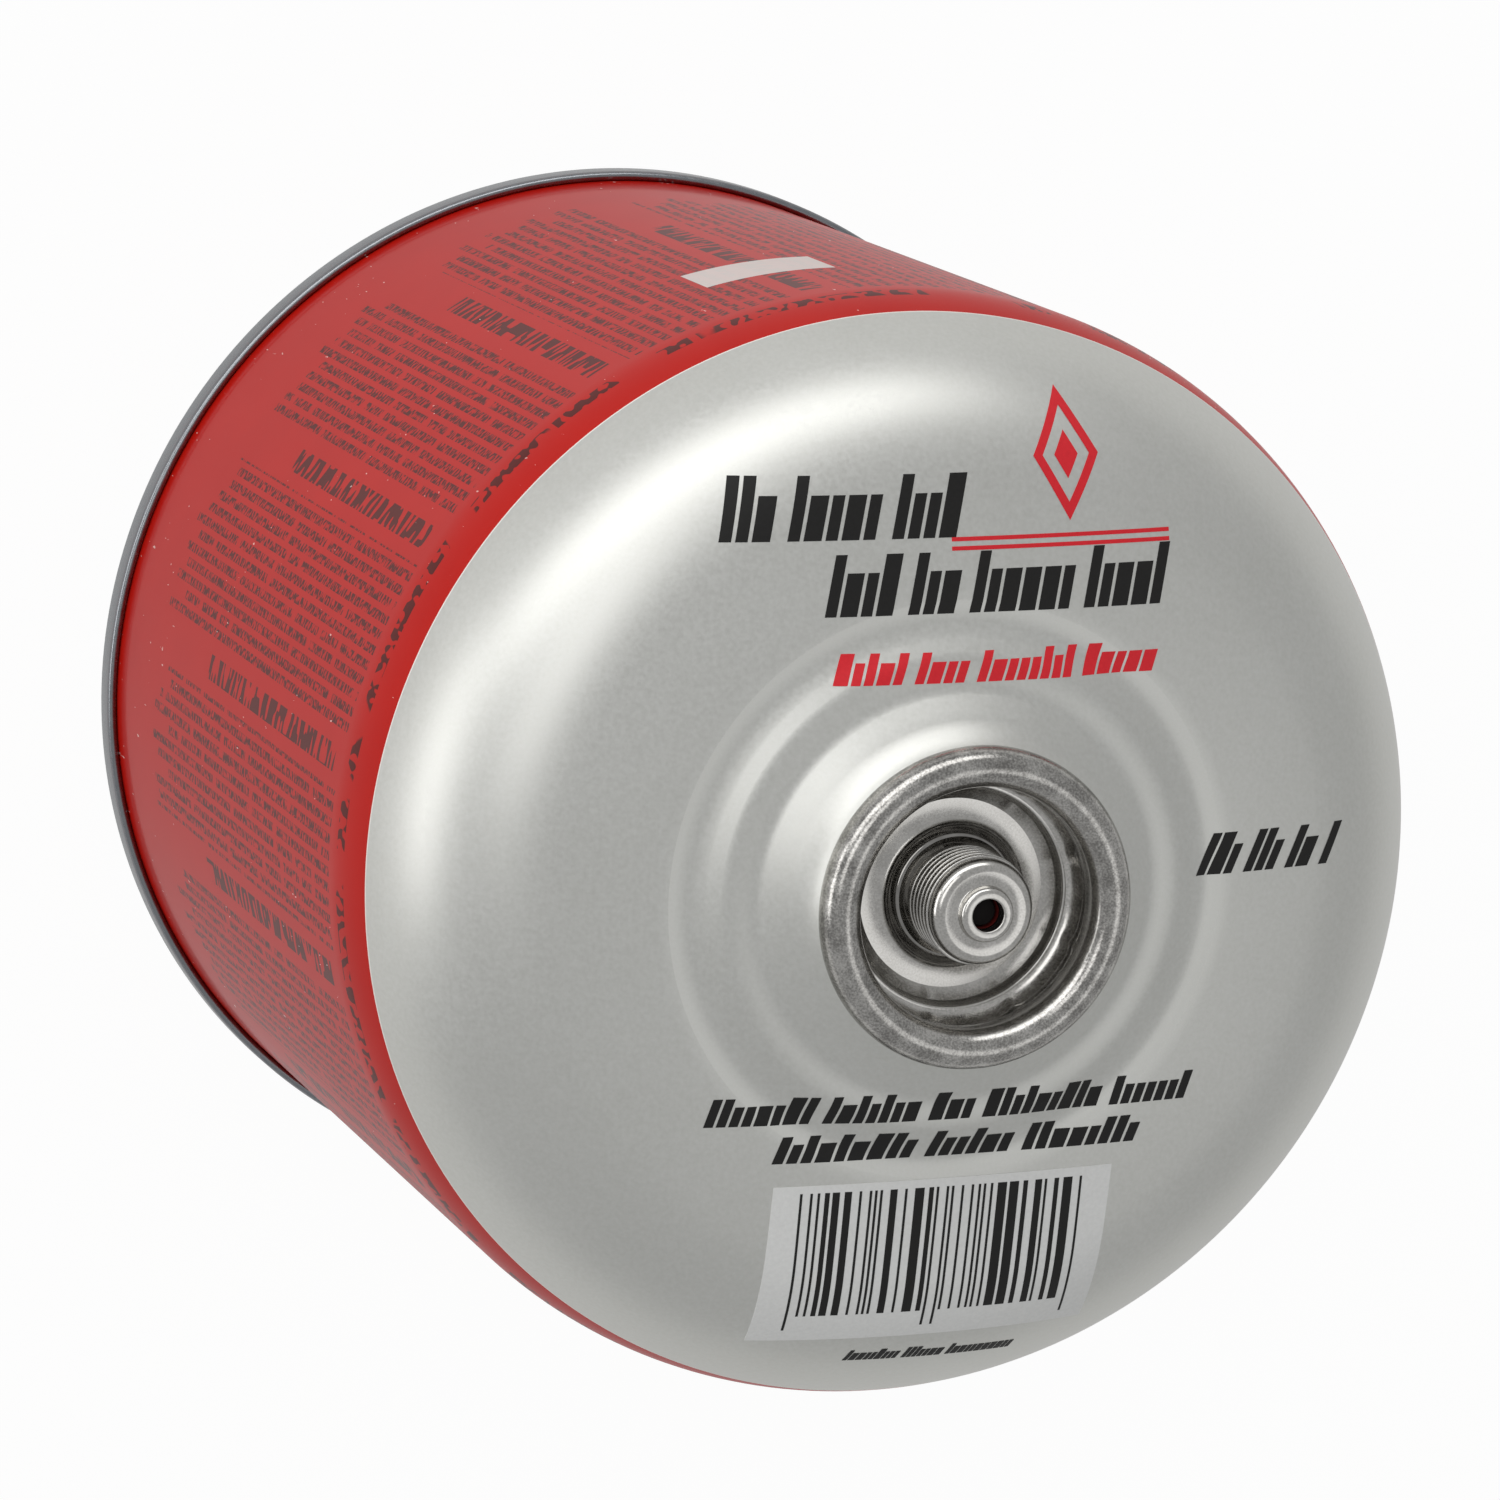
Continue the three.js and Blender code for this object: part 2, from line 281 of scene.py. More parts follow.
def silverLacquer():
    # aluminium-pigmented lacquer rolled on tinplate: satin, a fine sparkle and faint draw marks
    material, tree, shader, place = newMaterial("silver lacquer on tinplate")
    fleck = grain(tree, place, 0.45, 2.0)  # pigment flecks, drawn coarser than the real 0.03 mm
    cloud = grain(tree, place, 14.0, 2.0)
    shade = addNode(tree, "Math", [cloud, 0.35, fleck], operation="MULTIPLY_ADD")
    tone = addNode(tree, "MapRange", [shade, 0.4, 0.95, 0, 1])
    mix = addNode(tree, "Mix", {0: tone, 6: linear("#c9c9c4"), 7: linear("#d2d2ce")}, data_type="RGBA")
    setShader(
        tree, shader, Metallic=0.9, Base_Color=mix.outputs[2],
        Roughness=addNode(tree, "MapRange", [fleck, 0.3, 0.7, 0.38, 0.45]),
        Normal=addNode(tree, "Bump", {"Height": fleck, "Distance": 0.0015 * mm, "Strength": 1.0}),
    )
    return material


def redPrint():
    # red litho ink under clear varnish: deep colour head on, milky reflections at a slant
    material, tree, shader, place = newMaterial("red litho print on tinplate")
    axes = addNode(tree, "SeparateXYZ", [place]).outputs
    height = addNode(tree, "Math", [axes[2], mm], operation="DIVIDE")
    turn = addNode(tree, "Math", [axes[1], axes[0]], operation="ARCTAN2")
    arc = addNode(tree, "Math", [turn, body["radius"]], operation="MULTIPLY")
    p = smallPrint["panel"]
    across = addNode(tree, "Math", [arc, p[0], p[1]], operation="COMPARE")
    along = addNode(tree, "Math", [height, p[2], p[3]], operation="COMPARE")
    panel = addNode(tree, "Math", [across, along], operation="MULTIPLY")
    # rubs from the shelf: sparse pale specks and short scratches, thicker near the seam
    scratch = grain(tree, place, 0.5, 2.0, (1, 1, 0.35))
    patch = grain(tree, place, 11.0, 2.0)
    low = addNode(tree, "MapRange", [height, 4.0, 22.0, 0.05, 0.0])
    marked = addNode(tree, "Math", [scratch, low], operation="ADD")
    worn = addNode(tree, "Math", [patch, 0.22, marked], operation="MULTIPLY_ADD")
    layers = [
        (wallText(tree, arc, height), "#2e1613"),
        (addNode(tree, "Math", [panel, 0.9], operation="MULTIPLY"), "#d8cfcb"),
        (addNode(tree, "MapRange", [worn, 0.885, 0.9, 0, 0.75]), "#e6c9c4"),
        # thin pale band round the top of the red, next to the silver: a painted highlight
        (addNode(tree, "Math", [height, borderHeight - 0.15], operation="GREATER_THAN"), "#e9e2dc"),
    ]
    cloud = grain(tree, place, 9.0, 2.0)
    mix = addNode(tree, "Mix", {0: cloud, 6: linear("#b0130c"), 7: linear("#ba190f")}, data_type="RGBA")
    for share, colour in layers:
        mix = addNode(tree, "Mix", {0: share, 6: mix.outputs[2], 7: linear(colour)}, data_type="RGBA")
    relief = grain(tree, place, 0.5, 2.0)
    setShader(
        tree, shader, Base_Color=mix.outputs[2], Roughness=0.5,
        Coat_Weight=0.32, Coat_Roughness=0.1, Specular_IOR_Level=0.03,
        Normal=addNode(tree, "Bump", {"Height": relief, "Distance": 0.0025 * mm, "Strength": 1.0}),
    )
    return material


# Greeked small print on the wall: rows along the axis, stacked round the can in blocks

smallPrint = {
    "rowPitch": 1.62,
    "rowHeight": 0.95,
    "letterPitch": 0.8,
    "low": 18.0,
    "high": 88.0,
    "ragged": 7.0,
    "blockArc": 24.0,
    "blockGap": 0.24,
    "headingLow": 38.0,
    "headingHigh": 86.0,
    "ringRow": 91.2,
    "ringHalf": 0.9,
    "strength": 0.85,
    "panel": (99.2, 7.0, 70.0, 4.2),  # plain white panel: middle arc, half arc, middle and half height
}


def wallText(tree, arc, height):
    p = smallPrint
    row = addNode(tree, "Math", [arc, p["rowPitch"]], operation="DIVIDE")
    rowIndex = addNode(tree, "Math", [row], operation="FLOOR")
    rowPart = addNode(tree, "Math", [row], operation="FRACT")
    inRow = addNode(tree, "Math", [rowPart, p["rowHeight"] / p["rowPitch"]], operation="LESS_THAN")
    rowRandom = addNode(tree, "TexWhiteNoise", {"W": rowIndex}, noise_dimensions="1D")
    # words: noise along the row, broken where it falls low
    wordX = addNode(tree, "Math", [height, 0.42], operation="MULTIPLY")
    wordPlace = addNode(tree, "CombineXYZ", [wordX, rowIndex])
    words = addNode(tree, "TexNoise", {"Vector": wordPlace, "Scale": 1.0, "Detail": 0.0})
    inWord = addNode(tree, "Math", [words, 0.36], operation="GREATER_THAN")
    # letters: uneven upright strokes
    strokeX = addNode(tree, "Math", [height, p["letterPitch"]], operation="DIVIDE")
    cell = addNode(tree, "CombineXYZ", [strokeX, row])
    letters = addNode(tree, "TexNoise", {"Vector": cell, "Scale": 1.9, "Detail": 1.0})
    inLetter = addNode(tree, "MapRange", [letters, 0.43, 0.53, 0, 1])
    # blocks: bands of rows with gaps between, each row ending at its own place
    blocks = addNode(tree, "Math", [arc, p["blockArc"]], operation="DIVIDE")
    block = addNode(tree, "Math", [blocks], operation="FRACT")
    inBlock = addNode(tree, "Math", [block, p["blockGap"]], operation="GREATER_THAN")
    start = addNode(tree, "Math", [rowRandom, p["ragged"], p["low"]], operation="MULTIPLY_ADD")
    above = addNode(tree, "Math", [height, start], operation="GREATER_THAN")
    below = addNode(tree, "Math", [height, p["high"]], operation="LESS_THAN")
    mask = inRow
    for part in (inWord, inLetter, inBlock, above, below):
        mask = addNode(tree, "Math", [mask, part], operation="MULTIPLY")
    # a larger heading in each gap between blocks
    headX = addNode(tree, "Math", [height, 0.9], operation="MULTIPLY")
    headY = addNode(tree, "Math", [arc, 0.25], operation="MULTIPLY")
    headPlace = addNode(tree, "CombineXYZ", [headX, headY])
    strokes = addNode(tree, "TexNoise", {"Vector": headPlace, "Scale": 1.3, "Detail": 0.0})
    heading = addNode(tree, "Math", [block, p["blockGap"] / 2, 0.055], operation="COMPARE")
    for value, limit, operation in (
        (strokes, 0.46, "GREATER_THAN"),
        (height, p["headingLow"], "GREATER_THAN"),
        (height, p["headingHigh"], "LESS_THAN"),
    ):
        part = addNode(tree, "Math", [value, limit], operation=operation)
        heading = addNode(tree, "Math", [heading, part], operation="MULTIPLY")
    # one line of small print round the shoulder, with gaps between its words
    ringY = addNode(tree, "Math", [height, 0.6], operation="MULTIPLY")
    ringPlace = addNode(tree, "CombineXYZ", [arc, ringY])
    ringRow = addNode(tree, "Math", [height, p["ringRow"], p["ringHalf"]], operation="COMPARE")
    for scale, low, high in ((1.05, 0.47, 0.5), (0.14, 0.42, 0.44)):
        noise = addNode(tree, "TexNoise", {"Vector": ringPlace, "Scale": scale, "Detail": 0.0})
        part = addNode(tree, "MapRange", [noise, low, high, 0, 1])
        ringRow = addNode(tree, "Math", [ringRow, part], operation="MULTIPLY")
    marks = addNode(tree, "Math", [mask, heading], operation="MAXIMUM")
    marks = addNode(tree, "Math", [marks, ringRow], operation="MAXIMUM")
    return addNode(tree, "Math", [marks, p["strength"]], operation="MULTIPLY")


# Bottom end: rolled tinplate ring of the double seam and the concave panel

seam = {"radius": 56.98, "height": 3.4, "fold": 1.08, "corner": 0.55, "flat": 1.0, "panelRise": 7.5}


def makeBottomEnd():
    s, base, sheet = seam, body["baseRadius"], body["sheet"]
    slotOuter, slotInner = base + 0.12, base - sheet - 0.12
    chuck = base - sheet - 0.5
    beadR = chuck - 2.7
    under = [(beadR * i / 16, 5.0 + s["panelRise"] * (1 - (i / 16) ** 2)) for i in range(17)]
    under.append((chuck - sheet, 4.4))
    over = [(r, z + sheet) for r, z in under]
    over[-1] = (chuck - sheet - 0.12, 4.8)
    profile = (
        under
        + [(slotInner - sheet, 1.2), (s["radius"] - s["corner"] - s["flat"], 0)]
        + arcPoints(s["radius"] - s["corner"], s["corner"], s["corner"], -90, 0, 6)
        + arcPoints(s["radius"] - s["fold"] / 2, s["height"] - s["fold"] / 2, s["fold"] / 2, 0, 180, 12)
        + [(slotOuter, s["height"] - 1.9), (slotInner, s["height"] - 1.9), (slotInner, 4.0)]
        + over[::-1]
    )
    obj = lathe("seamedBottomEnd", profile, body["segments"])
    smooth(obj, 40)
    obj.data.materials.append(rolledTinplate())
    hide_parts("bottom_end")
    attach(obj, "can")


def rolledTinplate():
    # bare tinplate turned over by the seaming rolls: bright, with fine marks along the seam
    return grained(
        "rolled bare tinplate", "#7c7f83", "#929497", 1.2, (0.2, 0.32), 0.001, 4.0, (1, 1, 7),
        Metallic=1.0,
    )


# Valve cup: drawn tinplate, crimped over the neck, with a rolled pedestal

cup = {
    "wall": 12.15,
    "crimp": (12.85, 3.3),  # radius and depth of the bulge under the curl
    "ledge": (11.0, 5.1),
    "floor": (8.9, 6.8),
    "collar": (6.1, 5.4),
    "threadRadius": 5.55,
    "threadDepth": 0.5,
    "threadPitch": 0.907,
    "threadTop": 1.2,
    "threadTurns": 6,
    "endFace": (4.6, 2.6),
    "shoulder": (4.1, 1.25),  # centre and radius of the pedestal's rounded edge
    "lip": (2.8, 3.6),
    "bore": 1.62,
    "crimpMarks": 9,
    "segments": 192,
}


def makeValveCup():
    c = cup
    sheet = body["sheet"]
    floorZ = rimLevel - c["floor"][1]
    endZ = rimLevel + c["endFace"][1]
    lipZ = rimLevel + c["lip"][1]
    collarR, collarZ = c["collar"][0], rimLevel - c["collar"][1]
    root = c["threadRadius"] - c["threadDepth"]
    ledgeR, ledgeZ = c["ledge"][0], rimLevel - c["ledge"][1]
    crimpR, crimpZ = c["crimp"][0], rimLevel - c["crimp"][1]
    cavity = root - sheet
    profile = (
        arcPoints(rollCentre, rimLevel, roll["radius"], -35, 180, 36)
        + [(c["wall"], rimLevel - 1.2), (c["wall"] + 0.06, rimLevel - 1.8)]
        + easedStep(c["wall"] + 0.06, rimLevel - 1.8, crimpR, crimpZ + 0.5, 4)
        + [(crimpR, crimpZ + 0.4), (crimpR + 0.05, crimpZ), (crimpR - 0.05, crimpZ - 0.5)]
        + [(ledgeR + 1.0, ledgeZ + 0.6), (ledgeR + 0.6, ledgeZ + 0.36)]
        + arcPoints(ledgeR + 0.38, ledgeZ - 0.04, 0.36, 80, 185, 8)
        + arcPoints(ledgeR - 1.45, floorZ + 1.4, 1.4, 0, -90, 12)
        + [(c["floor"][0], floorZ)]
        + [(collarR + 1.6, floorZ + 0.02), (collarR + 1.05, floorZ + 0.2)]
        + [(collarR + 0.65, floorZ + 0.62), (collarR + 0.4, collarZ - 0.25)]
        + [(collarR + 0.15, collarZ - 0.02), (collarR - 0.1, collarZ + 0.02)]
        + [(collarR - 0.4, collarZ - 0.18), (root + 0.25, collarZ - 0.35)]
        + [(root, collarZ - 0.15), (root, rimLevel + c["threadTop"] - 0.1)]
        + [(c["threadRadius"] - 0.22, rimLevel + c["threadTop"] + 0.1)]
        + arcPoints(c["shoulder"][0], endZ - c["shoulder"][1], c["shoulder"][1], 12, 90, 12)
        + [(c["lip"][0] + 0.25, endZ - 0.02), (c["lip"][0] + 0.05, endZ + 0.1)]
        + arcPoints(c["lip"][0] - 0.62, lipZ - 0.6, 0.6, 8, 90, 8)
        + arcPoints(c["bore"] + 0.18, lipZ - 0.18, 0.18, 90, 180, 4)
        + [(c["bore"], endZ - 0.5), (cavity, endZ - 0.5), (cavity, floorZ - sheet)]
        + [(c["floor"][0], floorZ - sheet), (ledgeR + sheet, ledgeZ - 0.6)]
        + [(crimpR + sheet, crimpZ - 0.6), (crimpR + sheet, crimpZ + 0.5)]
        + [(c["wall"] + sheet, rimLevel - 1.6)]
        + arcPoints(rollCentre, rimLevel, roll["radius"] - sheet, 180, -35, 24)
    )

    def crimpMark(r, z, angle):
        # the crimping tool's jaws leave flats with sharp edges between them
        if not (rimLevel - 4.4 < z < rimLevel - 1.9) or r < c["wall"]:
            return 0.0
        jaw = (angle / (2 * math.pi) * c["crimpMarks"]) % 1.0
        return -0.28 * math.exp(-((jaw - 0.5) / 0.07) ** 2)

    obj = lathe("crimpedValveCup", profile, c["segments"], crimpMark)
    smooth(obj, 40)
    obj.data.materials.append(drawnTinplate())
    obj.data.materials.append(swagedCollar())
    # faces round the pedestal's foot take the collar's finish, whose darker tone is painted shade
    for face in obj.data.polygons:
        radius = face.center.xy.length / mm
        onCollar = root < radius < collarR + 1.1 and face.center.z / mm < collarZ + 0.1
        face.material_index = 1 if onCollar and face.normal.z > -0.2 else 0
    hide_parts("valve_cup")
    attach(obj, "can")


def drawnTinplate():
    # tinplate burnished by the drawing dies: satin and bright inside. On the rolled rim its tone is
    # painted greyer, as painted shade for the darker surroundings the rim reflects, and speckled where
    # rubbed in packing
    material, tree, shader, place = newMaterial("drawn tinplate")
    axes = addNode(tree, "SeparateXYZ", [place]).outputs
    flat = addNode(tree, "CombineXYZ", [axes[0], axes[1]])
    radius = addNode(tree, "VectorMath", [flat], operation="LENGTH").outputs["Value"]
    onRim = addNode(tree, "MapRange", [radius, (cup["wall"] - 0.3) * mm, (cup["wall"] + 1.0) * mm, 0, 1])
    rub = grain(tree, place, 2.2)
    fine = grain(tree, place, 0.22)
    share = addNode(tree, "Math", [fine, 0.55], operation="MULTIPLY")
    speck = addNode(tree, "Math", [rub, 0.45, share], operation="MULTIPLY_ADD")
    tone = addNode(tree, "MapRange", [speck, 0.38, 0.62, 0, 1])
    # first pair: the inside's tones; second pair: the rim's, darker as painted shade
    tones = [
        addNode(tree, "Mix", {0: tone, 6: linear(low), 7: linear(high)}, data_type="RGBA").outputs[2]
        for low, high in (("#b3b1ad", "#c9c7c3"), ("#817f7c", "#bebcb8"))
    ]
    mix = addNode(tree, "Mix", {0: onRim, 6: tones[0], 7: tones[1]}, data_type="RGBA")
    gloss = addNode(tree, "MapRange", [speck, 0.35, 0.65, 0.15, 0.25])
    setShader(
        tree, shader, Metallic=1.0, Base_Color=mix.outputs[2],
        Roughness=addNode(tree, "Math", [onRim, 0.02, gloss], operation="MULTIPLY_ADD"),
        Normal=addNode(tree, "Bump", {"Height": fine, "Distance": 0.0008 * mm, "Strength": 1.0}),
    )
    return material


def swagedCollar():
    # the metal ring squeezed round the pedestal's foot: mirror bright under a film of oil, its tones
    # darker than the cup's tinplate as painted shade for the dark sides it mirrors
    return grained(
        "oiled swaged tinplate", "#6f6d6a", "#a5a39f", 1.4, (0.05, 0.14), 0.004,
        Metallic=1.0, Coat_Weight=0.6, Coat_Roughness=0.03,
    )


# Rolled thread: one ridge swept along a helix round the pedestal

def helixTree():
    tree = bpy.data.node_groups.new("rolledThreadTree", "GeometryNodeTree")
    for name in ("Radius", "Pitch", "Turns", "Base", "RidgeWidth", "RidgeHeight"):
        tree.interface.new_socket(name, in_out="INPUT", socket_type="NodeSocketFloat")
    tree.interface.new_socket("Material", in_out="INPUT", socket_type="NodeSocketMaterial")
    tree.interface.new_socket("Geometry", in_out="OUTPUT", socket_type="NodeSocketGeometry")
    given = addNode(tree, "NodeGroupInput").outputs
    height = addNode(tree, "Math", [given["Pitch"], given["Turns"]], operation="MULTIPLY")
    spiral = addNode(
        tree, "GeometryNodeCurveSpiral",
        {"Resolution": 72, "Rotations": given["Turns"], "Start Radius": given["Radius"],
         "End Radius": given["Radius"], "Height": height},
    )
    lift = addNode(tree, "CombineXYZ", {2: given["Base"]})
    lifted = addNode(tree, "GeometryNodeSetPosition", {"Geometry": spiral, "Offset": lift})
    upright = addNode(tree, "GeometryNodeSetCurveNormal", [lifted], mode="Z_UP")
    section = addNode(
        tree, "GeometryNodeCurvePrimitiveQuadrilateral",
        {"Bottom Width": given["RidgeWidth"],
         "Top Width": addNode(tree, "Math", [given["RidgeWidth"], 0.28], operation="MULTIPLY"),
         "Height": given["RidgeHeight"], "Offset": 0.0},
        mode="TRAPEZOID",
    )
    crest = addNode(tree, "Math", [given["RidgeHeight"], 0.22], operation="MULTIPLY")
    filleted = addNode(
        tree, "GeometryNodeFilletCurve", {"Curve": section, "Radius": crest, "Count": 3}, mode="POLY",
    )
    swept = addNode(
        tree, "GeometryNodeCurveToMesh",
        {"Curve": upright, "Profile Curve": filleted, "Fill Caps": True},
    )
    if "Scale" in swept.inputs:
        # the ridge thins out at both ends, where the rolls run off
        along = addNode(tree, "GeometryNodeSplineParameter").outputs["Factor"]
        left = addNode(tree, "Math", [1.0, along], operation="SUBTRACT")
        fade = addNode(tree, "Math", [along, left], operation="MINIMUM")
        setInput(tree, swept, "Scale", addNode(tree, "MapRange", [fade, 0.0, 0.05, 0.25, 1.0]))
    real = addNode(tree, "GeometryNodeRealizeInstances", [swept])
    painted = addNode(tree, "GeometryNodeSetMaterial", {"Geometry": real, "Material": given["Material"]})
    addNode(tree, "NodeGroupOutput", [painted])
    return tree


def bakeNodes(name, tree, values):
    # runs a tree on an empty object and keeps the result as a plain mesh
    carrier = meshObject(name + "Carrier", [], [])
    modifier = carrier.modifiers.new("nodes", "NODES")
    modifier.node_group = tree
    sockets = {item.name: item.identifier for item in tree.interface.items_tree}
    for key, value in values.items():
        modifier[sockets[key]] = value
    ready = carrier.evaluated_get(bpy.context.evaluated_depsgraph_get())
    data = bpy.data.meshes.new_from_object(ready)
    bpy.data.objects.remove(carrier)
    obj = bpy.data.objects.new(name, data)
    bpy.context.scene.collection.objects.link(obj)
    return obj


def makeThread():
    c = cup
    ridge = c["threadDepth"] + 0.1
    turns = float(c["threadTurns"])
    obj = bakeNodes("pedestalThread", helixTree(), {
        "Radius": (c["threadRadius"] - ridge / 2) * mm,
        "Pitch": c["threadPitch"] * mm,
        "Turns": turns,
        "Base": (rimLevel + c["threadTop"] - turns * c["threadPitch"]) * mm,
        "RidgeWidth": c["threadPitch"] * 0.92 * mm,
        "RidgeHeight": ridge * mm,
        "Material": drawnTinplate(),
    })
    smooth(obj, 50)
    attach(obj, "can")


# Print on the dome: thin ink slabs that follow the dome, laid out in plain shapes

printing = {
    "tilt": 2.5,  # degrees that the lines of print climb to the right
    "slant": 0.26,
    "ink": 0.045,
    "overprint": 0.02,
    "sink": 0.15,
    "step": 0.25,
    # rows of strokes: left end, foot, width, height, strokes in each word, stroke width
    "blackRows": (
        (-24.2, 35.4, 25.6, 6.2, (3, 5, 4), 1.35),
        (-13.8, 28.0, 37.0, 6.0, (4, 3, 6, 5), 1.35),
        (-24.8, -22.9, 52.2, 2.9, (8, 7, 3, 9, 7), 0.8),
        (-17.6, -27.0, 39.4, 2.8, (9, 6, 8), 0.8),
        (26.4, 0.3, 17.2, 4.2, (3, 3, 2, 1), 0.55),
        (-7.0, -49.8, 18.6, 1.3, (9, 7, 11), 0.26),
    ),
    "redRow": (-13.2, 21.4, 34.8, 3.0, (5, 4, 8, 5), 0.7),
    "rules": ((-0.5, 34.1), (-0.5, 35.0)),
    "ruleSize": (23.6, 0.4),
    "lozenge": (12.2, 42.9, 3.6, 6.3),  # middle, half width and half height
    "lozengeHole": 0.72,  # shares of the lozenge's size
    "lozengeHeart": 0.36,
    "panel": [(-17.6, -46.9), (18.6, -46.7), (19.0, -29.3), (-17.2, -29.5)],
    "bars": (-14.4, 15.6, -43.9, -30.3),  # left and right end, foot and top
    "longBarFoot": -45.6,
    "thinBar": 0.26,
}


def slabOnDome(outline, verts, faces, ink):
    # outline is (x, y) corners of a four-sided patch, counter-clockwise from lower left
    a, b, c, d = [Vector(p) for p in outline]
    nx = max(1, int(max((b - a).length, (c - d).length) / printing["step"]))
    ny = max(1, int(max((d - a).length, (c - b).length) / printing["step"]))
    turn = Matrix.Rotation(math.radians(printing["tilt"]), 2)
    start = len(verts)
    for lift in (ink, -printing["sink"]):
        for j in range(ny + 1):
            for i in range(nx + 1):
                s, t = i / nx, j / ny
                p = turn @ ((a * (1 - s) + b * s) * (1 - t) + (d * (1 - s) + c * s) * t)
                verts.append((p.x, p.y, domeHeight(p.length) + lift))
    layer = (nx + 1) * (ny + 1)

    def corner(i, j, low):
        return start + low * layer + j * (nx + 1) + i

    for j in range(ny):
        for i in range(nx):
            quad = [corner(i, j, 0), corner(i + 1, j, 0), corner(i + 1, j + 1, 0), corner(i, j + 1, 0)]
            faces.append(quad)
            faces.append([v + layer for v in reversed(quad)])
    border = [(i, 0) for i in range(nx)] + [(nx, j) for j in range(ny)]
    border += [(i, ny) for i in range(nx, 0, -1)] + [(0, j) for j in range(ny, 0, -1)]
    for (i0, j0), (i1, j1) in zip(border, border[1:] + border[:1]):
        faces.append([corner(i0, j0, 1), corner(i1, j1, 1), corner(i1, j1, 0), corner(i0, j0, 0)])


def printPiece(name, outlines, material, ink=printing["ink"]):
    verts, faces = [], []
    for outline in outlines:
        slabOnDome(outline, verts, faces, ink)
    obj = meshObject(name, verts, faces)
    smooth(obj, 30)
    obj.data.materials.append(material)
    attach(obj, "can")


def bar(x, y, width, height, slant=0.0):
    return [(x, y), (x + width, y), (x + width + slant, y + height), (x + slant, y + height)]


def greekedRow(x, y, width, height, words, stroke, draw):
    # slanted strokes of two heights in groups stand for words, without any letter
    outlines, at = [], 0.0
    for count in words:
        for i in range(count):
            wide = stroke * draw.choice((1.0, 1.0, 1.5))
            tall = height * (1.0 if i == 0 else draw.choice((0.7, 0.7, 0.7, 1.0)))
            outlines.append(bar(at, y, wide, tall, tall * printing["slant"]))
            at += wide + stroke * 0.33
        at += stroke * 1.1
    # the row is stretched to the width it fills on the can
    ends = [px for outline in outlines for px, py in outline]
    low, scale = min(ends), width / (max(ends) - min(ends))
    return [[(x + (px - low) * scale, py) for px, py in outline] for outline in outlines]


def inkMaterial(name, hexColour):
    # litho ink with a faint fleck, matter than the lacquer round it
    material, tree, shader, place = newMaterial(name)
    fleck = grain(tree, place, 0.4, 2.0)
    light = [min(1.0, v * 1.18 + 0.004) for v in linear(hexColour)[:3]] + [1.0]
    mix = addNode(tree, "Mix", {0: fleck, 6: linear(hexColour), 7: light}, data_type="RGBA")
    setShader(tree, shader, Base_Color=mix.outputs[2], Roughness=0.5, Specular_IOR_Level=0.25)
    return material


def lozenge(share):
    x, y, wide, tall = printing["lozenge"]
    corners = ((0, -tall), (wide, 0), (0, tall), (-wide, 0))
    return [(x + px * share, y + py * share) for px, py in corners]


def makeDomePrint():
    draw = random.Random(7)
    black, red = [], []
    for row in printing["blackRows"]:
        black += greekedRow(*row, draw)
    # red rules, a row of red words and a plain lozenge with a smaller one inside
    red += [bar(x, y, *printing["ruleSize"]) for x, y in printing["rules"]]
    red += greekedRow(*printing["redRow"], draw)
    outer, hole = lozenge(1.0), lozenge(printing["lozengeHole"])
    for i in range(4):
        j = (i + 1) % 4
        red.append([outer[i], outer[j], hole[j], hole[i]])
    red.append(lozenge(printing["lozengeHeart"]))
    printPiece("domePrintBlack", black, inkMaterial("black litho ink", "#141312"))
    printPiece("domePrintRed", red, inkMaterial("red litho ink", "#c8202a"))
    # pale panel with plain bars, some of them longer at its ends and middle
    printPiece("domePanel", [printing["panel"]], inkMaterial("white litho ink", "#d3d3d1"))
    left, right, foot, top = printing["bars"]
    bars, at, middle = [], left, (left + right) / 2
    while at < right:
        width, low = draw.choice((0.26, 0.26, 0.5, 0.75, 1.0)), foot
        if at < left + 0.6 or abs(at - middle) < 0.7 or at > right - 1.0:
            width, low = printing["thinBar"], printing["longBarFoot"]
        bars.append(bar(at, low, width, top - low))
        at += width + draw.choice((0.3, 0.5, 0.8))
    ink = inkMaterial("black panel ink", "#141312")
    printPiece("domePanelBars", bars, ink, printing["ink"] + printing["overprint"])


# Spring: wire coil with a flat turn at each end, built at one length; the real one is shortened as the
# stem is pushed in

spring = {
    "radius": 2.2,
    "wire": 0.3,
    "low": 105.99,
    "high": 117.89,
    "turns": 6,
    "flatPitch": 0.64,
    "travel": 1.8,
    "sides": 12,
    "steps": 40,
}


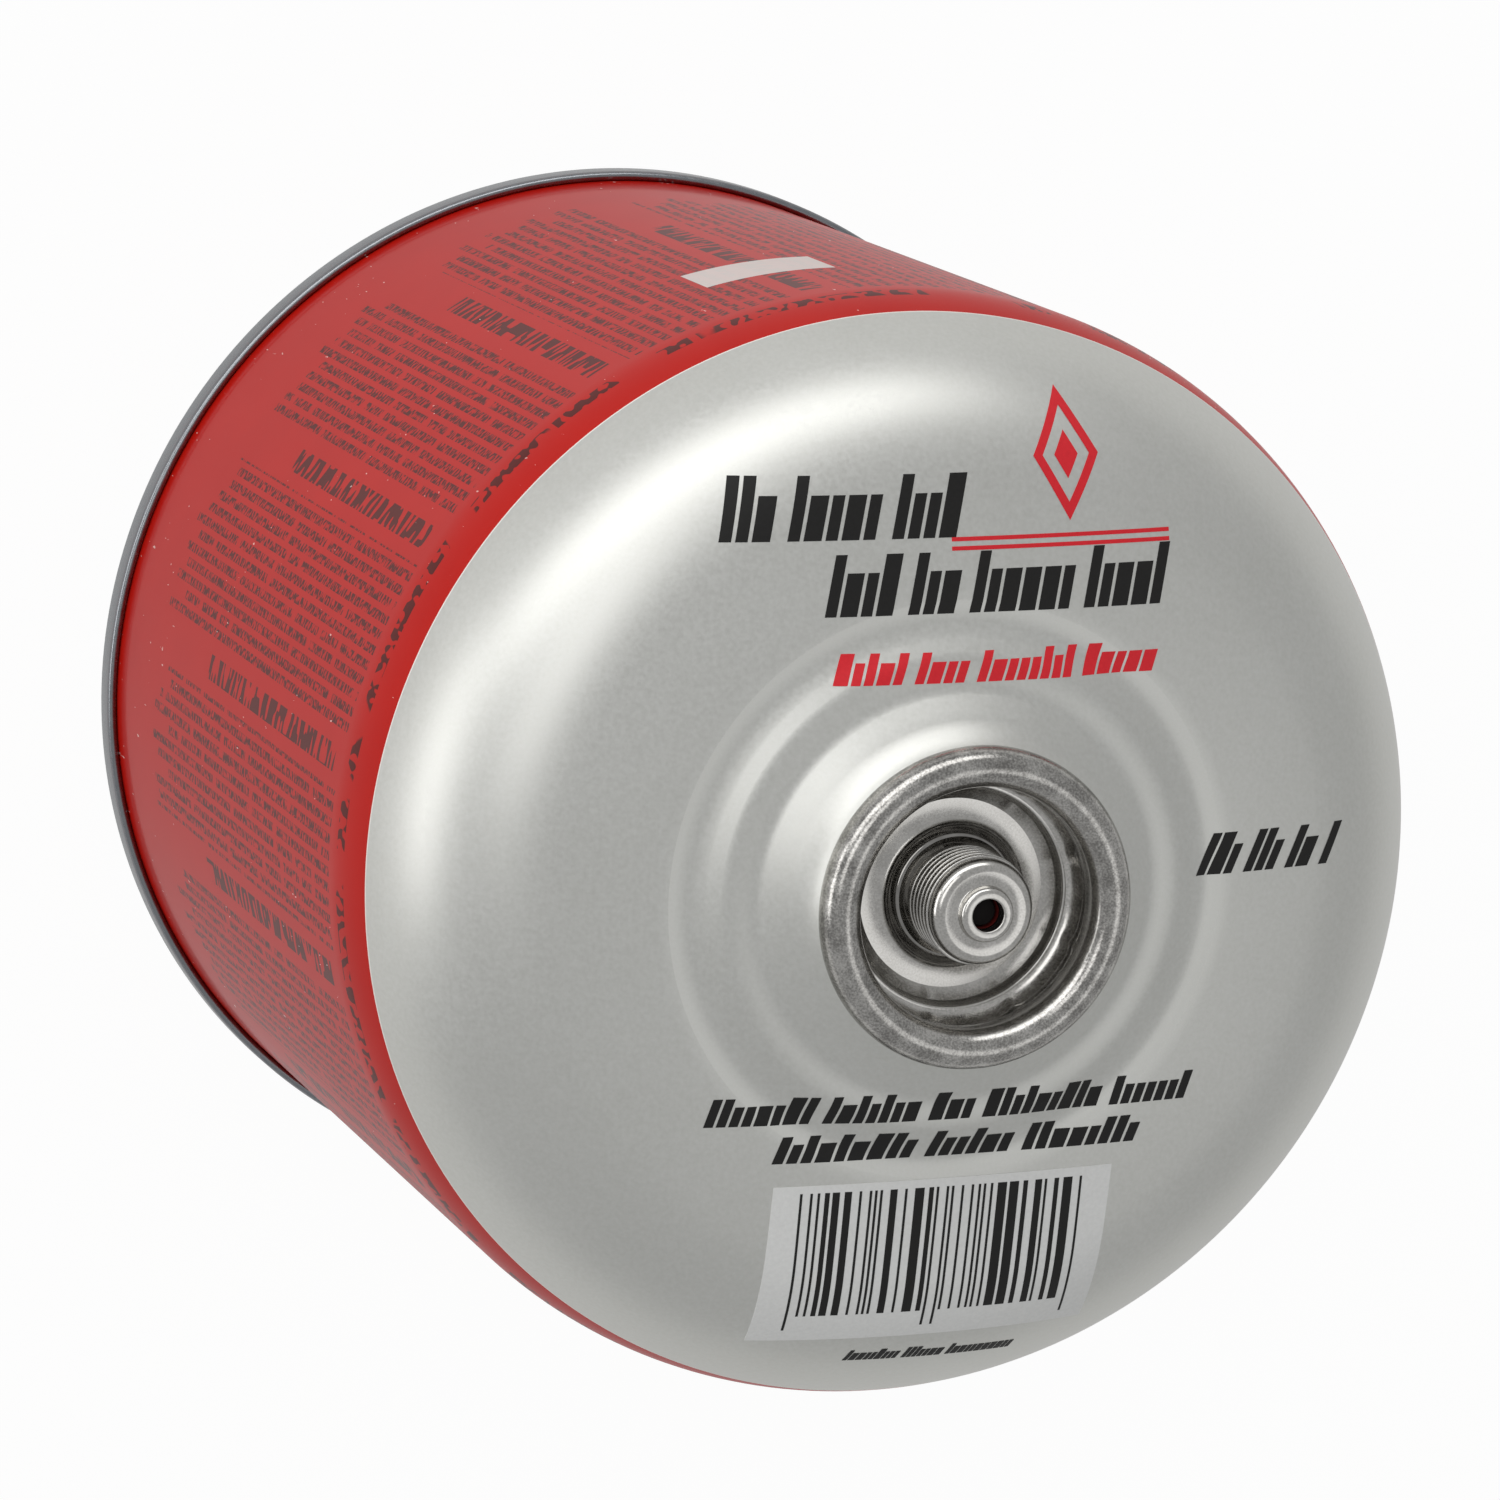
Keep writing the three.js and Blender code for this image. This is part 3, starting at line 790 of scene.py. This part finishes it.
def makeSpring():
    s = spring
    middle, low = s["radius"] - s["wire"], s["low"] + s["wire"]
    high = s["high"] - s["wire"]
    rise = high - low - 2 * s["flatPitch"]
    count = s["turns"] * s["steps"]
    verts, faces = [], []
    for k in range(count + 1):
        turned = k / s["steps"]
        active = min(max((turned - 1) / (s["turns"] - 2), 0), 1)
        flat = min(turned, 1) + max(turned - s["turns"] + 1, 0)
        centre = low + s["flatPitch"] * flat + rise * active
        a = 2 * math.pi * turned
        for i in range(s["sides"]):
            b = 2 * math.pi * i / s["sides"]
            r = middle + s["wire"] * math.cos(b)
            verts.append((r * math.cos(a), r * math.sin(a), centre + s["wire"] * math.sin(b)))
    for k in range(count):
        for i in range(s["sides"]):
            j = (i + 1) % s["sides"]
            a, b = k * s["sides"], (k + 1) * s["sides"]
            faces.append([a + j, a + i, b + i, b + j])
    faces.append(list(range(s["sides"])))
    faces.append([count * s["sides"] + i for i in reversed(range(s["sides"]))])
    obj = meshObject("coiledSpring", verts, faces)
    smooth(obj, 50)
    obj.data.materials.append(grained(
        "drawn spring wire", "#8f9091", "#9fa0a2", 0.2, (0.22, 0.34), 0.003, Metallic=1.0,
    ))
    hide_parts("valve_spring")
    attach(obj, "can")
    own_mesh(obj)


# Inner pieces keep their solids and get their own finish

def finishInnerPieces():
    # moulded parts: matt, with the faint grain of the mould
    finishes = {
        "cup_gasket": grained("moulded nitrile rubber", "#1d1d1e", "#272728", 0.3, (0.64, 0.76), 0.01),
        "stem_gasket": grained(
            "moulded fluorocarbon rubber", "#5a1410", "#661f1c", 0.3, (0.49, 0.61), 0.01,
            Specular_IOR_Level=0.3,
        ),
        "valve_housing": grained("moulded acetal", "#dedbd2", "#f6f2e8", 0.4, (0.39, 0.51), 0.004),
        "valve_stem": grained(
            "moulded dark acetal", "#0d0908", "#1a1716", 0.3, (0.54, 0.66), 0.004,
            Specular_IOR_Level=0.12,
        ),
    }
    for name, material in finishes.items():
        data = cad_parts[name].data
        data.materials.clear()
        data.materials.append(material)


makeBody()
print("can body and its print")
makeBottomEnd()
makeValveCup()
makeThread()
print("seam, valve cup and thread")
makeDomePrint()
print("dome print")
makeSpring()
finishInnerPieces()
print("inner pieces")


# Stage: pale floor that the camera sees as white, plain sky and soft lamps

stage = {
    "floorSize": 4.0,
    "floorHeight": -0.02,  # just clear of the seam that stands on it
    "floorColour": "#e6e6e4",
    "whiteShare": 0.96,
    "whiteInGloss": 0.4,
    "skyColour": "#f2f3f4",
    "sky": 0.5,
    "skyInGloss": 0.1,
}


def makeStage():
    half, low = stage["floorSize"] / 2 / mm, stage["floorHeight"]
    corners = [(-half, -half, low), (half, -half, low), (half, half, low), (-half, half, low)]
    floor = meshObject("floor", corners, [[0, 1, 2, 3]])
    material = bpy.data.materials.new("pale studio floor")
    material.use_nodes = True
    tree = material.node_tree
    tree.nodes.clear()
    matte = addNode(tree, "BsdfDiffuse", {"Color": linear(stage["floorColour"])})
    white = addNode(tree, "Emission", {"Color": (1, 1, 1, 1), "Strength": 1.0})
    camera, gloss = rays(tree)
    share = addNode(tree, "Math", [gloss, stage["whiteInGloss"]], operation="MULTIPLY")
    share = addNode(tree, "Math", [camera, stage["whiteShare"], share], operation="MULTIPLY_ADD")
    addNode(tree, "OutputMaterial", [addNode(tree, "MixShader", [share, matte, white])])
    floor.data.materials.append(material)

    world = bpy.data.worlds.new("studio")
    bpy.context.scene.world = world
    world.use_nodes = True
    tree = world.node_tree
    tree.nodes.clear()
    dim = addNode(tree, "Background", {"Color": linear(stage["skyColour"]), "Strength": stage["sky"]})
    bright = addNode(tree, "Background", {"Color": (1, 1, 1, 1), "Strength": 1.0})
    camera, gloss = rays(tree)
    share = addNode(tree, "Math", [gloss, stage["skyInGloss"], camera], operation="MULTIPLY_ADD")
    addNode(tree, "OutputWorld", [addNode(tree, "MixShader", [share, dim, bright])])


def rays(tree):
    path = addNode(tree, "LightPath").outputs
    mirrored, through = path["Is Glossy Ray"], path["Is Transmission Ray"]
    return path["Is Camera Ray"], addNode(tree, "Math", [mirrored, through], operation="MAXIMUM")


lamps = {
    # azimuth and elevation of the lamp seen from the can, distance, size, power in watts
    "key": (112, 29, 1.15, (1.9, 0.45), 6.7),
    "left": (176, 10, 1.2, (0.8, 0.35), 2.2),
    "top": (148, 55, 1.4, (1.0, 0.4), 2.3),
    "fill": (-31, 60, 1.2, (0.5, 0.4), 0.5),
}


def makeLamps():
    target = Vector((0, 0, rimLevel * 0.7 * mm))
    for name, (azimuth, elevation, distance, size, power) in lamps.items():
        light = bpy.data.lights.new(name, "AREA")
        light.shape = "RECTANGLE"
        light.size, light.size_y = size
        light.energy = power
        obj = bpy.data.objects.new(name, light)
        bpy.context.scene.collection.objects.link(obj)
        a, e = math.radians(azimuth), math.radians(elevation)
        out = Vector((math.cos(a) * math.cos(e), math.sin(a) * math.cos(e), math.sin(e)))
        obj.location = target + out * distance
        obj.rotation_euler = out.to_track_quat("Z", "Y").to_euler()


# Camera: the photograph's view, from a fit of the rim, bore, print border, seam and outline

view = {
    "lens": 188.5,  # on a 36 mm sensor
    "axis": (0.33396, 0.20297, -0.92048),  # can's axis in view: right, down, away
    "rimCentre": (22.11, 15.46, 770.14),  # centre of the valve cup's rim in view, millimetres
}


def makeCamera():
    n = Vector(view["axis"]).normalized()
    up = Vector((0, -1, 0))
    y = (up - n * up.dot(n)).normalized()
    x = y.cross(n)
    centre = Vector(view["rimCentre"])
    rows = Matrix((x, y, n))  # turns view directions into the can's own
    place = rows @ -centre + Vector((0, 0, rimLevel))
    right, upward, back = rows.col[0], -rows.col[1], -rows.col[2]
    pose = Matrix((right, upward, back)).transposed().to_4x4()
    pose.translation = place * mm
    data = bpy.data.cameras.new("photoCamera")
    data.lens = view["lens"]
    data.sensor_width = 36
    data.clip_start = 0.01
    camera = bpy.data.objects.new("photoCamera", data)
    camera.matrix_world = pose
    bpy.context.scene.collection.objects.link(camera)
    bpy.context.scene.camera = camera


makeStage()
makeLamps()
makeCamera()
bpy.context.scene.view_settings.view_transform = "Standard"
print("stage, lamps and camera")
